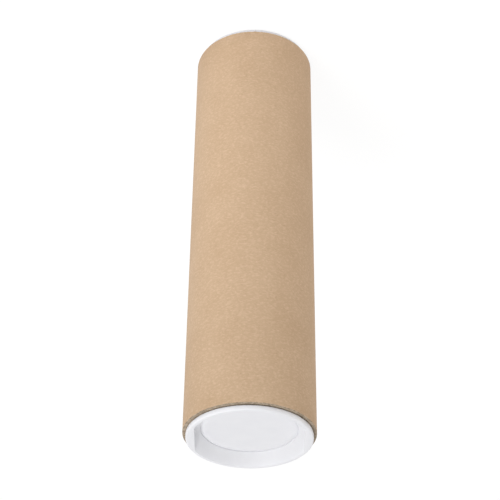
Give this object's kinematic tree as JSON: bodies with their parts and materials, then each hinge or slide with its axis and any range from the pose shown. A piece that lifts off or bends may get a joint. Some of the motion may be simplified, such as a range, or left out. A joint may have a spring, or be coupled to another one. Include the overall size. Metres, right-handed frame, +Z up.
{
  "type": "cardboard mailing tube",
  "caption": "Round wound kraft card mailing tube with square sawn ends, closed at each end by a white moulded push-in plug with a dished finger recess.",
  "frame": {"origin": "centre of the lower plug's outer face, which the tube stands on", "axes": "+Z up along the tube's axis; +X towards one grip ledge of each plug"},
  "size_m": [0.083, 0.083, 0.3076],
  "materials": {
    "kraft_card": "matt unprinted kraft paper, wound and glued solid, sawn ends darker and fibrous",
    "white_polyethylene": "soft satin moulded polyethylene"
  },
  "bodies": {
    "bottom_plug": {"bottom_plug": "white_polyethylene"},
    "tube": {"tube": "kraft_card"},
    "top_plug": {"top_plug": "white_polyethylene"}
  },
  "joints": [
    {"name": "tube_pull", "type": "slide", "parent": "bottom_plug", "child": "tube", "axis": [0, 0, 1], "range_m": [0, 0.05]},
    {"name": "top_plug_pull", "type": "slide", "parent": "tube", "child": "top_plug", "axis": [0, 0, 1], "range_m": [0, 0.05]}
  ]
}
